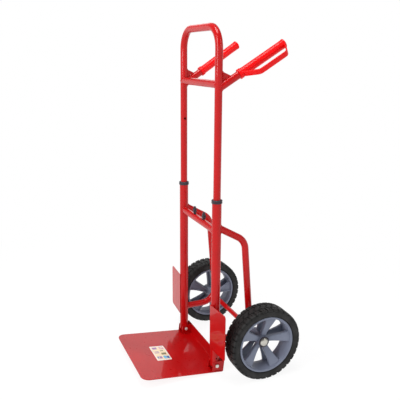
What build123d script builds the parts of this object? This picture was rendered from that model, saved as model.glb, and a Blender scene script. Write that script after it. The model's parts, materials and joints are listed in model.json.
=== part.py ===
"""Hand truck: telescopic handle, folding toe plate and two wheels.

Units are millimetres.  +Z is up, +X is the truck's right seen from behind the toe plate's front edge,
and the toe plate reaches towards -Y.  The origin is on the floor, midway between the wheels and midway
between the toe plate's front edge and the back of the tyres, in the plane of the two uprights.
"""
from build123d import *
import os
from math import cos, pi, radians, sin, tan

os.makedirs("parts", exist_ok=True)

# ---- driving dimensions -------------------------------------------------------------------------
SIDES = {"left": -1, "right": 1}

# uprights: fixed outer tubes with telescoping inner tubes
UPRIGHT_X = 150.0  # each upright's axis, from the middle plane
WALL = 1.5  # wall of every round tube
OUTER_R = 16.0
OUTER_TOP = 628.5
INNER_R = 12.5
INNER_FOOT = 470.0  # lower end of the inner tubes, handle raised
TRAVEL = 349.5  # how far the handle goes down
LOCK_Z = 523.5  # height of the lower crossbar and its lock pins
LOOP_TOP = 1185.5
LOOP_BEND_R = 67.0
RUN_GAP = 0.3  # clearance between parts that slide past each other
WELD_GAP = 0.05  # root gap under a welded joint

# collars and guide bushes
COLLAR_R = 18.5
COLLAR_FOOT = 622.5
COLLAR_TOP = 634.5
COLLAR_SLEEVE_FOOT = 604.0
COLLAR_EDGE_R = 1.5
BUSH_LENGTH = 30.0

# crossbars and side braces
CROSSBAR_R = 12.5
UPPER_CROSSBAR_Z = 1008.5
BRACE_R = 12.0
BRACE_BEND_R = 55.0
BRACE_TOP_Z = 540.0
BRACE_UPPER_CORNER = (108.0, 478.6)
BRACE_LOWER_CORNER = (140.0, 120.0)

# handle tubes and grips
HANDLE_Z = 996.0  # where a handle tube's axis meets its upright's axis
HANDLE_RISE = 32.5  # degrees above the horizontal
HANDLE_SPLAY = 5.0  # degrees outwards
GRIP_START = 80.0  # along the handle tube's axis
GRIP_END = 262.0
GRIP_R = 14.8
GRIP_RING_R = 17.0
GRIP_RING_LENGTH = 10.0
GRIP_END_WALL = 4.0
GUARD_OFFSET = 53.5  # from the grip's axis to the knuckle guard's strap
GUARD_DROP = 20.8  # degrees below straight outwards
GUARD_ROOT = 10.0  # where the strap leaves the sleeve, from its lower end
GUARD_KNEE = 50.0
GUARD_SHOULDER = 26.0  # from the sleeve's upper end
GUARD_TIP = 3.0
GUARD_BEND_R = 10.0
STRAP_THICKNESS = 4.0
STRAP_WIDTH = 20.0
GUSSET_TOP = 1051.0
GUSSET_REACH = 40.0
GUSSET_THICKNESS = 4.0

# release: two sprung lock pins squeezed towards each other
PIN_R = 4.0
PIN_CHAMFER = 1.0
PIN_TRAVEL = 10.0
PIN_TIP_X = UPRIGHT_X - INNER_R - RUN_GAP
KNOB_X = 42.0
KNOB_LENGTH = 12.0
KNOB_DEPTH = 12.0
KNOB_FOOT = 541.0
KNOB_SHOULDER = 554.5
KNOB_TOP = 563.0
KNOB_STEM = (8.0, 8.0)  # below and above the wide middle, along the crossbar and across it
KNOB_CORNER_R = 2.0
KNOB_EDGE_R = 1.5
SLOT_CLEARANCE = 1.0
SLIDER_R = 10.6
SLIDER_START = 33.0
SLIDER_END = 57.0
STOP_HALF = 3.0
SPRING_R = 7.0
SPRING_WIRE_R = 0.6
SPRING_TURNS = 8

# wheels and axle
WHEEL_Y = 143.0
TYRE_R = 131.5
WHEEL_Z = TYRE_R
TYRE_IN_X = 203.2
TYRE_OUT_X = 272.8
RIM_IN_X = 205.6
RIM_OUT_X = 270.4
RIM_LIP_R = 102.5
RIM_SEAT_R = 97.0
RIM_BORE_R = 93.0
LIP_THICKNESS = 4.2
RIM_MOUTH = (4.0, 2.0)  # depth and height of the chamfer inside the outer lip
HUB_R = 23.0
HUB_IN_X = 175.5
HUB_OUT_X = 246.5
BUSH_R = 11.5
AXLE_R = 9.0
AXLE_END_X = 252.0
AXLE_CAP_R = 15.0
AXLE_CAP_FOOT_X = 249.7
AXLE_CAP_TOP_X = 256.0
AXLE_CAP_EDGE = 1.5  # straight part of the cap's side
AXLE_CHAMFER = 1.0
SPACER_START_X = 163.0
SPACER_R = 13.0
INNER_WASHER_R = 16.0
OUTER_WASHER_R = 14.0
WASHER_THICKNESS = 2.0
AXLE_FIT = 0.05  # radial running clearance of the wheel bush on the axle
SPOKES = 5
SPOKE_ANGLE = 79.0  # degrees from +Y towards +Z
# a spoke's middle x and width at the hub and at the rim, and its thickness
FRONT_SPOKE = ((231.0, 18.0), (255.0, 42.0), 14.0)
REAR_SPOKE = ((200.0, 14.0), (211.0, 48.0), 10.0)
SPOKE_ROOT = 4.0  # how far a spoke runs into the hub
TYRE_BULGE_R = 113.5  # radius where the tyre is widest
SIDEWALL_FLARE = 1.5
BEAD_LIP = (1.0, 4.0)  # the bead's edge above the rim's lip, inside and outside
SHOULDER_INSET = 8.0
GROOVE_X = 11.0  # each tread groove's middle, from the tyre's middle plane
GROOVE_HALF = 1.6
GROOVE_DEPTH = 3.5

# wheel guards, in front of the wheels
GUARD_THICKNESS = 2.5
GUARD_BOTTOM = 92.0
GUARD_TOP = 258.0
GUARD_EDGE_X = 253.0
GUARD_SWEEP = 4.0  # degrees backwards
GUARD_CORNER_R = 10.0
GUARD_OVERLAP = 5.0

# toe plate, hinged on a bolt through each upright's foot
TOE_TILT = 6.36  # degrees, front edge raised
TOE_HALF = 169.4
TOE_THICKNESS = 3.0
TOE_DROP = 26.0  # pivot axis to the plate's underside
TOE_REAR = 28.0  # pivot axis to the back of the rear flange
TOE_BEND_R = 5.0
FLANGE_HEIGHT = 15.0  # above the pivot axis
TOE_CORNER_R = 28.0
FOOT_R = 16.2  # rounded lower end of each upright, about the pivot
BRACKET_GAP = 0.4
BRACKET_THICKNESS = 2.5
EAR_R = 15.0
BOLT_R = 4.0
BOLT_HOLE_R = 4.1
BOLT_TAIL = 13.0  # how far the bolt stands out inside the upright
BOLT_CHAMFER = 0.8
BOLT_HEAD_HEIGHT = 5.3
HEXAGON_R = 7.0  # across the corners of the bolt's head and its nut, halved
NUT_HEIGHT = 6.5
NUT_COLLAR_R = 5.6
NUT_COLLAR_HEIGHT = 1.8
BRACKET_RELIEF = 2.0  # clears the bend of the plate
SPARE_HOLE_R = 3.0
SPARE_HOLE_UP = 25.5
LABEL_SIZE = (105.0, 56.0)
LABEL_THICKNESS = 0.4
LABEL_CORNER_R = 3.0
LABEL_X = 2.0
LABEL_V = -153.0

# ---- derived values -----------------------------------------------------------------------------
TILT = radians(TOE_TILT)
# the bend under the rear flange is the lowest point of the plate, and touches the floor
PIVOT_Z = (TOE_REAR - TOE_BEND_R) * sin(TILT) + (TOE_DROP - TOE_BEND_R) * cos(TILT) + TOE_BEND_R
TOE_FRONT_Y = -(WHEEL_Y + TYRE_R)
TOE_LENGTH = (-TOE_FRONT_Y - TOE_DROP * sin(TILT)) / cos(TILT)
OUTER_BORE_R = OUTER_R - WALL
WHEEL_AXIS = Axis((0, WHEEL_Y, WHEEL_Z), (1, 0, 0))
WHEEL_SECTION = Plane.XZ.offset(-WHEEL_Y)

# the toe plate seen from the side: local x runs back along it, local y is its upward normal
TOE_SIDE = Plane(origin=(0, 0, PIVOT_Z), x_dir=(0, cos(TILT), -sin(TILT)), z_dir=(1, 0, 0))
TOE_FLAT = Plane(origin=(0, 0, PIVOT_Z), x_dir=(1, 0, 0), z_dir=(0, sin(TILT), cos(TILT)))


def save(part, name):
    """Label a finished piece and write its STEP file."""
    part.label = name
    export_step(part, f"parts/{name}.step")


def largest(part):
    """The main solid of a cut part, without the offcuts inside a neighbouring tube."""
    return Part() + part.solids().sort_by(SortBy.VOLUME)[-1]


def ring(outer_r, inner_r):
    """Add a tube's section to the sketch in hand."""
    Circle(outer_r)
    Circle(inner_r, mode=Mode.SUBTRACT)


def upright_axis(side):
    return Axis((side * UPRIGHT_X, 0, 0), (0, 0, 1))


def handle_frame(side, across, normal):
    """A plane on a handle tube's axis, from its upright's axis."""
    return Plane(origin=(side * UPRIGHT_X, 0, HANDLE_Z), x_dir=across, z_dir=normal)


def handle_directions(side):
    """Along the handle tube, and level across it."""
    rise, splay = radians(HANDLE_RISE), radians(HANDLE_SPLAY)
    along = Vector(side * sin(splay) * cos(rise), cos(splay) * cos(rise), sin(rise))
    return along, Vector(cos(splay), -side * sin(splay), 0)


# ---- fixed frame --------------------------------------------------------------------------------
def make_outer_tube(side):
    """Upright's outer tube, its foot rounded about the pivot bolt."""
    x = side * UPRIGHT_X
    with BuildPart() as tube:
        with BuildSketch(Plane.XY.offset(PIVOT_Z - FOOT_R)):
            with Locations((x, 0)):
                ring(OUTER_R, OUTER_BORE_R)
        extrude(amount=OUTER_TOP - PIVOT_Z + FOOT_R)
        with BuildSketch(Plane.YZ.offset(x)):
            with Locations((0, PIVOT_Z - FOOT_R)):
                Rectangle(4 * OUTER_R, 2 * FOOT_R)
            with Locations((0, PIVOT_Z)):
                Circle(FOOT_R, mode=Mode.SUBTRACT)
        extrude(amount=2 * OUTER_R, both=True, mode=Mode.SUBTRACT)
        with BuildSketch(Plane.YZ.offset(x)):
            with Locations((0, PIVOT_Z)):
                Circle(BOLT_HOLE_R)
        extrude(amount=2 * OUTER_R, both=True, mode=Mode.SUBTRACT)
        with BuildSketch(Plane.YZ.offset(x)):
            with Locations((0, PIVOT_Z + SPARE_HOLE_UP)):
                Circle(SPARE_HOLE_R)
        extrude(amount=side * 2 * OUTER_R, mode=Mode.SUBTRACT)
        with BuildSketch(Plane.YZ.offset(x)):
            with Locations((0, LOCK_Z)):
                Circle(PIN_R + RUN_GAP)
        extrude(amount=-side * 2 * OUTER_R, mode=Mode.SUBTRACT)
    return tube.part


def make_collar(side):
    """Plastic collar that caps the outer tube and guides the inner one."""
    x = side * UPRIGHT_X
    bore = INNER_R + RUN_GAP
    with BuildPart() as collar:
        with BuildSketch(Plane.XZ):
            with BuildLine():
                Polyline(
                    (x + OUTER_R, COLLAR_FOOT),
                    (x + COLLAR_R, COLLAR_FOOT),
                    (x + COLLAR_R, COLLAR_TOP),
                    (x + bore, COLLAR_TOP),
                    (x + bore, COLLAR_SLEEVE_FOOT),
                    (x + OUTER_BORE_R, COLLAR_SLEEVE_FOOT),
                    (x + OUTER_BORE_R, OUTER_TOP),
                    (x + OUTER_R, OUTER_TOP),
                    close=True,
                )
            make_face()
        revolve(axis=upright_axis(side))
        rims = collar.edges().filter_by(GeomType.CIRCLE).sort_by(Axis.Z)[-2:]
        fillet(rims.sort_by(SortBy.RADIUS)[-1], radius=COLLAR_EDGE_R)
    return collar.part


def make_crossbar(z, upright_r):
    """Level tube between the uprights, its ends coped to them."""
    with BuildPart() as bar:
        with BuildSketch(Plane.YZ.offset(-UPRIGHT_X)):
            with Locations((0, z)):
                ring(CROSSBAR_R, CROSSBAR_R - WALL)
        extrude(amount=2 * UPRIGHT_X)
        for side in SIDES.values():
            with Locations((side * UPRIGHT_X, 0, z)):
                Cylinder(upright_r + WELD_GAP, 4 * CROSSBAR_R, mode=Mode.SUBTRACT)
    return bar.part


def make_lower_crossbar():
    """Crossbar that houses the release, with a slot above each knob."""
    blank = make_crossbar(LOCK_Z, OUTER_R)
    slot_inner = KNOB_X - KNOB_STEM[0] / 2 - PIN_TRAVEL - SLOT_CLEARANCE
    slot_outer = KNOB_X + KNOB_STEM[0] / 2 + SLOT_CLEARANCE
    with BuildPart() as bar:
        add(blank)
        with BuildSketch(Plane.XY.offset(LOCK_Z)):
            for side in SIDES.values():
                with Locations((side * (slot_inner + slot_outer) / 2, 0)):
                    Rectangle(slot_outer - slot_inner, KNOB_STEM[1] + SLOT_CLEARANCE)
        extrude(amount=2 * CROSSBAR_R, mode=Mode.SUBTRACT)
    return bar.part


def make_side_brace(side):
    """Bent tube from the lower crossbar's level, back and down to the axle, and forward again."""
    x = side * UPRIGHT_X
    with BuildPart() as brace:
        with BuildLine(Plane.YZ.offset(x)) as route:
            FilletPolyline(
                (0, BRACE_TOP_Z),
                BRACE_UPPER_CORNER,
                BRACE_LOWER_CORNER,
                (0, BRACE_LOWER_CORNER[1]),
                radius=BRACE_BEND_R,
            )
        with BuildSketch(Plane(origin=route.line @ 0, z_dir=route.line % 0)):
            ring(BRACE_R, BRACE_R - WALL)
        sweep(path=route.line)
        with Locations((x, 0, BRACE_TOP_Z / 2)):
            Cylinder(OUTER_R + WELD_GAP, 2 * BRACE_TOP_Z, mode=Mode.SUBTRACT)
        with Locations(Location((x, 0, LOCK_Z), (0, 90, 0))):
            Cylinder(CROSSBAR_R + WELD_GAP, 4 * BRACE_R, mode=Mode.SUBTRACT)
        with Locations(Location((x, WHEEL_Y, WHEEL_Z), (0, 90, 0))):
            Cylinder(AXLE_R, 4 * BRACE_R, mode=Mode.SUBTRACT)
    return largest(brace.part)


def make_wheel_guard(side):
    """Flat sheet on the front of the upright, swept slightly back in front of the wheel."""
    sweep_angle = radians(GUARD_SWEEP)
    outwards = Vector(side * cos(sweep_angle), sin(sweep_angle), 0)
    normal = outwards.cross(Vector(0, 0, 1))
    offset = OUTER_R + GUARD_THICKNESS / 2 + WELD_GAP
    forwards = normal * side
    origin = Vector(side * UPRIGHT_X, 0, 0) + forwards * offset - outwards * GUARD_OVERLAP
    width = (GUARD_EDGE_X - abs(origin.X)) / cos(sweep_angle)
    with BuildPart() as guard:
        with BuildSketch(Plane(origin=origin, x_dir=outwards, z_dir=normal)):
            with Locations((width / 2, (GUARD_BOTTOM + GUARD_TOP) / 2)):
                Rectangle(width, GUARD_TOP - GUARD_BOTTOM)
        extrude(amount=GUARD_THICKNESS / 2, both=True)
        corners = guard.edges().filter_by(Axis((0, 0, 0), normal))
        fillet(corners.sort_by(Axis((0, 0, 0), outwards))[-2:], radius=GUARD_CORNER_R)
    return guard.part


def make_axle():
    with BuildPart() as axle:
        with BuildSketch(Plane.YZ.offset(-AXLE_END_X)):
            with Locations((WHEEL_Y, WHEEL_Z)):
                Circle(AXLE_R)
        extrude(amount=2 * AXLE_END_X)
        chamfer(axle.edges().filter_by(GeomType.CIRCLE), length=AXLE_CHAMFER)
    return axle.part


def make_turned(side, profile):
    """Ring or disc turned about the wheel axis; the profile's points are (x, radius)."""
    with BuildPart() as turned:
        with BuildSketch(WHEEL_SECTION):
            with BuildLine():
                Polyline(*[(side * x, WHEEL_Z + r) for x, r in profile], close=True)
            make_face()
        revolve(axis=WHEEL_AXIS)
    return turned.part


def box_profile(x0, x1, r0, r1):
    return [(x0, r0), (x1, r0), (x1, r1), (x0, r1)]


def make_axle_cap(side):
    """Domed push-on cap over the end of the axle."""
    height = AXLE_CAP_TOP_X - AXLE_CAP_FOOT_X
    with BuildPart() as cap:
        with BuildSketch(Plane.YZ.offset(side * AXLE_CAP_FOOT_X)):
            with Locations((WHEEL_Y, WHEEL_Z)):
                Circle(AXLE_CAP_R)
        extrude(amount=side * height)
        rims = cap.edges().filter_by(GeomType.CIRCLE).sort_by(Axis.X)
        fillet(rims[-1 if side > 0 else 0], radius=height - AXLE_CAP_EDGE)
        with BuildSketch(Plane.YZ.offset(side * AXLE_CAP_FOOT_X)):
            with Locations((WHEEL_Y, WHEEL_Z)):
                Circle(AXLE_R)
        extrude(amount=side * (AXLE_END_X - AXLE_CAP_FOOT_X), mode=Mode.SUBTRACT)
    return cap.part


def make_pivot_bolt(side):
    """Hexagon-headed bolt through the bracket and the upright's foot."""
    head_x = UPRIGHT_X + OUTER_R + BRACKET_GAP + BRACKET_THICKNESS + RUN_GAP
    end_x = UPRIGHT_X - OUTER_R - BOLT_TAIL
    with BuildPart() as bolt:
        with BuildSketch(Plane.YZ.offset(side * end_x)):
            with Locations((0, PIVOT_Z)):
                Circle(BOLT_R)
        extrude(amount=side * (head_x - end_x))
        with BuildSketch(Plane.YZ.offset(side * head_x)):
            with Locations((0, PIVOT_Z)):
                RegularPolygon(HEXAGON_R, 6)
        extrude(amount=side * BOLT_HEAD_HEIGHT)
        tail = bolt.edges().filter_by(GeomType.CIRCLE).sort_by(Axis.X)[-1 if side < 0 else 0]
        chamfer(tail, length=BOLT_CHAMFER)
    return bolt.part


def make_pivot_nut(side):
    """Self-locking nut on the inner end of the pivot bolt."""
    face_x = UPRIGHT_X - OUTER_R - BRACKET_GAP - BRACKET_THICKNESS - RUN_GAP
    with BuildPart() as nut:
        with BuildSketch(Plane.YZ.offset(side * face_x)):
            with Locations((0, PIVOT_Z)):
                RegularPolygon(HEXAGON_R, 6)
                Circle(BOLT_R, mode=Mode.SUBTRACT)
        extrude(amount=-side * NUT_HEIGHT)
        with BuildSketch(Plane.YZ.offset(side * (face_x - NUT_HEIGHT))):
            with Locations((0, PIVOT_Z)):
                ring(NUT_COLLAR_R, BOLT_R)
        extrude(amount=-side * NUT_COLLAR_HEIGHT)
    return nut.part


# ---- release ------------------------------------------------------------------------------------
def make_spring_stop():
    """Disc fixed in the middle of the lower crossbar, between the two springs."""
    with BuildPart() as stop:
        with BuildSketch(Plane.YZ.offset(-STOP_HALF)):
            with Locations((0, LOCK_Z)):
                Circle(CROSSBAR_R - WALL)
        extrude(amount=2 * STOP_HALF)
    return stop.part


def make_release_spring(side):
    """Compression spring between the stop and a slider."""
    start = STOP_HALF + SPRING_WIRE_R + RUN_GAP
    length = SLIDER_START - STOP_HALF - 2 * (SPRING_WIRE_R + RUN_GAP)
    with BuildPart() as spring:
        with BuildLine() as coil:
            Helix(
                pitch=length / SPRING_TURNS,
                height=length,
                radius=SPRING_R,
                center=(side * start, 0, LOCK_Z),
                direction=(side, 0, 0),
            )
        with BuildSketch(Plane(origin=coil.line @ 0, z_dir=coil.line % 0)):
            Circle(SPRING_WIRE_R)
        sweep(path=coil.line, is_frenet=True)
    return spring.part


def make_release_knob(side):
    """Slider inside the crossbar with a finger knob standing through the slot."""
    with BuildPart() as knob:
        with BuildSketch(Plane.YZ.offset(side * SLIDER_START)):
            with Locations((0, LOCK_Z)):
                Circle(SLIDER_R)
        extrude(amount=side * (SLIDER_END - SLIDER_START))
        with BuildSketch(Plane.XY.offset(LOCK_Z)):
            with Locations((side * KNOB_X, 0)):
                RectangleRounded(*KNOB_STEM, KNOB_CORNER_R)
        extrude(amount=KNOB_TOP - LOCK_Z)
        fillet(knob.faces().sort_by(Axis.Z)[-1].edges(), radius=KNOB_EDGE_R)
        with BuildSketch(Plane.XY.offset(KNOB_FOOT)):
            with Locations((side * KNOB_X, 0)):
                RectangleRounded(KNOB_LENGTH, KNOB_DEPTH, KNOB_CORNER_R)
        extrude(amount=KNOB_SHOULDER - KNOB_FOOT)
        with BuildSketch(Plane.YZ.offset(side * (KNOB_X - KNOB_LENGTH / 2))):
            with Locations((0, LOCK_Z)):
                Circle(PIN_R)
        extrude(amount=side * (SLIDER_END - SLIDER_START), mode=Mode.SUBTRACT)
    return knob.part


def make_lock_pin(side):
    """Steel pin that locks the handle, its end chamfered."""
    start = KNOB_X - KNOB_LENGTH / 2
    with BuildPart() as pin:
        with BuildSketch(Plane.YZ.offset(side * start)):
            with Locations((0, LOCK_Z)):
                Circle(PIN_R)
        extrude(amount=side * (PIN_TIP_X - start))
        tip = pin.edges().filter_by(GeomType.CIRCLE).sort_by(Axis.X)[-1 if side > 0 else 0]
        chamfer(tip, length=PIN_CHAMFER)
    return pin.part


# ---- handle -------------------------------------------------------------------------------------
def make_handle_loop():
    """Inverted U of tube: both inner uprights and the top bend."""
    with BuildPart() as loop:
        with BuildLine(Plane.XZ) as route:
            FilletPolyline(
                (-UPRIGHT_X, INNER_FOOT),
                (-UPRIGHT_X, LOOP_TOP),
                (UPRIGHT_X, LOOP_TOP),
                (UPRIGHT_X, INNER_FOOT),
                radius=LOOP_BEND_R,
            )
        with BuildSketch(Plane(origin=route.line @ 0, z_dir=route.line % 0)):
            ring(INNER_R, INNER_R - WALL)
        sweep(path=route.line)
        for side in SIDES.values():
            with BuildSketch(Plane.YZ.offset(side * UPRIGHT_X)):
                with Locations((0, LOCK_Z), (0, LOCK_Z + TRAVEL)):
                    Circle(PIN_R + RUN_GAP)
            extrude(amount=-side * 2 * INNER_R, mode=Mode.SUBTRACT)
    return loop.part


def make_guide_bush(side):
    """Plastic bush on the inner tube's foot that runs in the outer tube."""
    with BuildPart() as bush:
        with BuildSketch(Plane.XY.offset(INNER_FOOT)):
            with Locations((side * UPRIGHT_X, 0)):
                ring(OUTER_BORE_R - RUN_GAP, INNER_R)
        extrude(amount=BUSH_LENGTH)
    return bush.part


def make_handle_tube(side):
    """Straight tube that rises backwards from its upright and carries the grip."""
    along, across = handle_directions(side)
    with BuildPart() as tube:
        with BuildSketch(handle_frame(side, across, along)):
            ring(INNER_R, INNER_R - WALL)
        extrude(amount=GRIP_END - GRIP_END_WALL)
        with Locations((side * UPRIGHT_X, 0, HANDLE_Z)):
            Cylinder(INNER_R + WELD_GAP, 8 * INNER_R, mode=Mode.SUBTRACT)
    return largest(tube.part)


def make_upper_crossbar():
    """Crossbar of the sliding handle, clear of both handle tubes."""
    blank = make_crossbar(UPPER_CROSSBAR_Z, INNER_R)
    with BuildPart() as bar:
        add(blank)
        for side in SIDES.values():
            along, across = handle_directions(side)
            with BuildSketch(handle_frame(side, across, along)):
                Circle(INNER_R + WELD_GAP)
            extrude(amount=4 * INNER_R, mode=Mode.SUBTRACT)
    return largest(bar.part)


def make_gusset(side):
    """Triangular plate in the corner above the handle tube."""
    along, across = handle_directions(side)
    level = Vector(along.X, along.Y, 0).normalized()
    reach_z = GUSSET_REACH * tan(radians(HANDLE_RISE))
    tube_top = INNER_R / cos(radians(HANDLE_RISE))
    with BuildPart() as gusset:
        with BuildSketch(handle_frame(side, level, level.cross(Vector(0, 0, 1)))):
            with BuildLine():
                Polyline(
                    (INNER_R / 2, 0),
                    (GUSSET_REACH, reach_z),
                    (GUSSET_REACH, reach_z + tube_top),
                    (INNER_R / 2, GUSSET_TOP - HANDLE_Z),
                    close=True,
                )
            make_face()
        extrude(amount=GUSSET_THICKNESS / 2, both=True)
        with Locations((side * UPRIGHT_X, 0, HANDLE_Z)):
            Cylinder(INNER_R + WELD_GAP, 16 * INNER_R, mode=Mode.SUBTRACT)
        with BuildSketch(handle_frame(side, across, along)):
            Circle(INNER_R + WELD_GAP)
        extrude(amount=3 * GUSSET_REACH, both=True, mode=Mode.SUBTRACT)
    return largest(gusset.part)


def make_grip(side):
    """Plastic sleeve with a base ring and a knuckle guard strap outside it."""
    along, across = handle_directions(side)
    drop = radians(GUARD_DROP)
    outwards = across * (side * cos(drop)) + along.cross(across) * sin(drop)
    strap_plane = handle_frame(side, along, along.cross(outwards))
    root_r = INNER_R - STRAP_THICKNESS / 2
    with BuildPart() as grip:
        with BuildSketch(strap_plane):
            with BuildLine():
                FilletPolyline(
                    (GRIP_START + GUARD_ROOT, root_r),
                    (GRIP_START + GUARD_KNEE, GUARD_OFFSET),
                    (GRIP_END - GUARD_SHOULDER, GUARD_OFFSET),
                    (GRIP_END - GUARD_TIP, root_r),
                    radius=GUARD_BEND_R,
                )
            trace(line_width=STRAP_THICKNESS)
        extrude(amount=STRAP_WIDTH / 2, both=True)
        with BuildSketch(handle_frame(side, across, along).offset(GRIP_START)):
            Circle(GRIP_R)
        extrude(amount=GRIP_END - GRIP_START)
        with BuildSketch(handle_frame(side, across, along).offset(GRIP_START)):
            Circle(GRIP_RING_R)
        extrude(amount=GRIP_RING_LENGTH)
        with BuildSketch(handle_frame(side, across, along).offset(GRIP_START)):
            Circle(INNER_R)
        extrude(amount=GRIP_END - GRIP_END_WALL - GRIP_START, mode=Mode.SUBTRACT)
    return grip.part


# ---- toe plate ----------------------------------------------------------------------------------
def make_toe_plate():
    """Sheet bent up along its back edge, with rounded front corners."""
    outer, inner = TOE_BEND_R, TOE_BEND_R - TOE_THICKNESS
    bend_v, bend_w = TOE_REAR - outer, -TOE_DROP + outer
    slant = cos(pi / 4)
    with BuildPart() as plate:
        with BuildSketch(TOE_SIDE):
            with BuildLine():
                Line((-TOE_LENGTH, -TOE_DROP), (bend_v, -TOE_DROP))
                ThreePointArc(
                    (bend_v, -TOE_DROP),
                    (bend_v + outer * slant, bend_w - outer * slant),
                    (TOE_REAR, bend_w),
                )
                Line((TOE_REAR, bend_w), (TOE_REAR, FLANGE_HEIGHT))
                Line((TOE_REAR, FLANGE_HEIGHT), (TOE_REAR - TOE_THICKNESS, FLANGE_HEIGHT))
                Line((TOE_REAR - TOE_THICKNESS, FLANGE_HEIGHT), (TOE_REAR - TOE_THICKNESS, bend_w))
                ThreePointArc(
                    (TOE_REAR - TOE_THICKNESS, bend_w),
                    (bend_v + inner * slant, bend_w - inner * slant),
                    (bend_v, -TOE_DROP + TOE_THICKNESS),
                )
                Line((bend_v, -TOE_DROP + TOE_THICKNESS), (-TOE_LENGTH, -TOE_DROP + TOE_THICKNESS))
                Line((-TOE_LENGTH, -TOE_DROP + TOE_THICKNESS), (-TOE_LENGTH, -TOE_DROP))
            make_face()
        extrude(amount=TOE_HALF, both=True)
        corners = plate.edges().filter_by(Axis((0, 0, 0), TOE_FLAT.z_dir)).sort_by(Axis.Y)[:2]
        fillet(corners, radius=TOE_CORNER_R)
    return plate.part


def make_hinge_bracket(side):
    """Channel welded to the toe plate, with an ear on each side of the upright's foot."""
    inner_half = OUTER_R + BRACKET_GAP
    outer_half = inner_half + BRACKET_THICKNESS
    plate_top = -TOE_DROP + TOE_THICKNESS
    flange_face = TOE_REAR - TOE_THICKNESS
    with BuildPart() as bracket:
        for near, far in ((-outer_half, -inner_half), (inner_half, outer_half)):
            with BuildSketch(TOE_SIDE.offset(side * UPRIGHT_X + near)):
                with BuildLine():
                    Line((-EAR_R, plate_top), (-EAR_R, 0))
                    ThreePointArc((-EAR_R, 0), (-EAR_R * cos(pi / 4), EAR_R * cos(pi / 4)), (0, EAR_R))
                    Line((0, EAR_R), (flange_face, EAR_R))
                    Line((flange_face, EAR_R), (flange_face, plate_top + BRACKET_RELIEF))
                    Line((flange_face, plate_top + BRACKET_RELIEF), (flange_face - BRACKET_RELIEF, plate_top))
                    Line((flange_face - BRACKET_RELIEF, plate_top), (-EAR_R, plate_top))
                make_face()
                Circle(BOLT_HOLE_R, mode=Mode.SUBTRACT)
            extrude(amount=far - near)
        with BuildSketch(TOE_SIDE.offset(side * UPRIGHT_X - inner_half)):
            with BuildLine():
                Polyline(
                    (inner_half, plate_top),
                    (inner_half + BRACKET_THICKNESS, plate_top),
                    (inner_half + BRACKET_THICKNESS, EAR_R),
                    (inner_half, EAR_R),
                    close=True,
                )
            make_face()
        extrude(amount=2 * inner_half)
    return bracket.part


def make_toe_label():
    """Sticker on the toe plate's upper face."""
    with BuildPart() as label:
        with BuildSketch(TOE_FLAT.offset(-TOE_DROP + TOE_THICKNESS)):
            with Locations((LABEL_X, LABEL_V)):
                RectangleRounded(*LABEL_SIZE, LABEL_CORNER_R)
        extrude(amount=LABEL_THICKNESS)
    return label.part


# ---- wheels -------------------------------------------------------------------------------------
def make_tyre(side):
    """Solid rubber tyre with two grooves round its tread."""
    middle = (TYRE_IN_X + TYRE_OUT_X) / 2
    half = (TYRE_OUT_X - TYRE_IN_X) / 2
    bead = (RIM_OUT_X - RIM_IN_X) / 2 - LIP_THICKNESS
    section = [
        (bead, RIM_SEAT_R),
        (bead, RIM_LIP_R + BEAD_LIP[0]),
        (half - SIDEWALL_FLARE, RIM_LIP_R + BEAD_LIP[1]),
        (half, TYRE_BULGE_R),
        (half, TYRE_R - SHOULDER_INSET),
        (half - SHOULDER_INSET, TYRE_R),
        (GROOVE_X + GROOVE_HALF, TYRE_R),
        (GROOVE_X + GROOVE_HALF, TYRE_R - GROOVE_DEPTH),
        (GROOVE_X - GROOVE_HALF, TYRE_R - GROOVE_DEPTH),
        (GROOVE_X - GROOVE_HALF, TYRE_R),
    ]
    mirrored = [(-x, r) for x, r in reversed(section)]
    return make_turned(side, [(middle + x, r) for x, r in section + mirrored])


def make_rim(side):
    """Plastic rim: a barrel with a lip on each side."""
    return make_turned(
        side,
        [
            (RIM_IN_X, RIM_BORE_R),
            (RIM_IN_X, RIM_LIP_R),
            (RIM_IN_X + LIP_THICKNESS, RIM_LIP_R),
            (RIM_IN_X + LIP_THICKNESS, RIM_SEAT_R),
            (RIM_OUT_X - LIP_THICKNESS, RIM_SEAT_R),
            (RIM_OUT_X - LIP_THICKNESS, RIM_LIP_R),
            (RIM_OUT_X, RIM_LIP_R),
            (RIM_OUT_X, RIM_BORE_R + RIM_MOUTH[1]),
            (RIM_OUT_X - RIM_MOUTH[0], RIM_BORE_R),
        ],
    )


def make_spoke(side, spoke, angle):
    """Broad spoke that widens and leans outwards from the hub to the rim."""
    (hub_x, hub_width), (rim_x, rim_width), thickness = spoke
    root, tip = HUB_R - SPOKE_ROOT, RIM_SEAT_R
    half = thickness / 2
    radial = Vector(0, cos(angle), sin(angle))
    centre = Vector(0, WHEEL_Y, WHEEL_Z)
    with BuildPart() as spoke:
        with BuildSketch(Plane(origin=centre, x_dir=radial, z_dir=radial.cross(Vector(side, 0, 0)))):
            with BuildLine():
                Polyline(
                    (root, hub_x - half),
                    (tip, rim_x - half),
                    (tip, rim_x + half),
                    (root, hub_x + half),
                    close=True,
                )
            make_face()
        extrude(amount=rim_width, both=True)
        with BuildSketch(Plane(origin=centre, x_dir=radial, z_dir=(1, 0, 0))):
            with BuildLine():
                Polyline(
                    (root, -hub_width / 2),
                    (tip, -rim_width / 2),
                    (tip, rim_width / 2),
                    (root, hub_width / 2),
                    close=True,
                )
            make_face()
        extrude(amount=side * RIM_OUT_X, mode=Mode.INTERSECT)
    return spoke.part


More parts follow.
